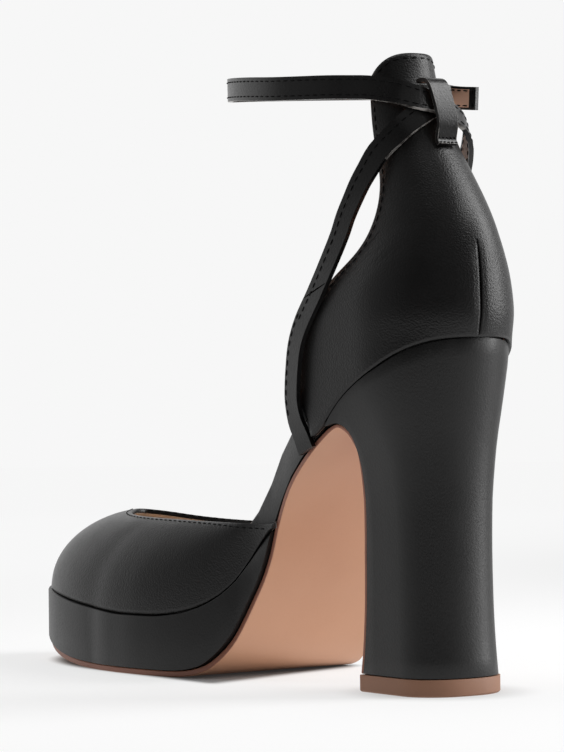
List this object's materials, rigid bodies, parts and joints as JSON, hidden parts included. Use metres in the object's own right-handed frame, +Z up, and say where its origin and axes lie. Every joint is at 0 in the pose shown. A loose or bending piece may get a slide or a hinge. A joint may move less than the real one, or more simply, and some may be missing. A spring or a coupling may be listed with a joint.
{
  "type": "ankle strap platform pump",
  "caption": "Right platform pump with a covered block heel, cut-away sides, a tall back tab and two crossed straps that buckle round the ankle.",
  "frame": {"origin": "middle of the heel tip's underside, on the floor", "axes": "+X runs to the toe, +Y to the inner side of the foot, +Z up"},
  "size_m": [0.2225, 0.0772, 0.1978],
  "materials": {
    "upper_leather": "satin, fine grain",
    "cover_leather": "satin, nearly smooth",
    "lining_tan": "matt",
    "sole_tan": "matt",
    "heel_tip_rubber": "matt",
    "buckle_metal": "polished"
  },
  "bodies": {
    "root": {"heel_tip": "heel_tip_rubber", "heel": "cover_leather", "outsole": "sole_tan", "platform": "cover_leather", "insole_board": "cover_leather", "sock_lining": "lining_tan", "vamp": "upper_leather", "quarter": "upper_leather", "keeper_loop": "upper_leather", "ankle_strap": "upper_leather", "buckle_strap": "upper_leather", "buckle_frame": "buckle_metal", "buckle_prong": "buckle_metal"}
  },
  "joints": []
}
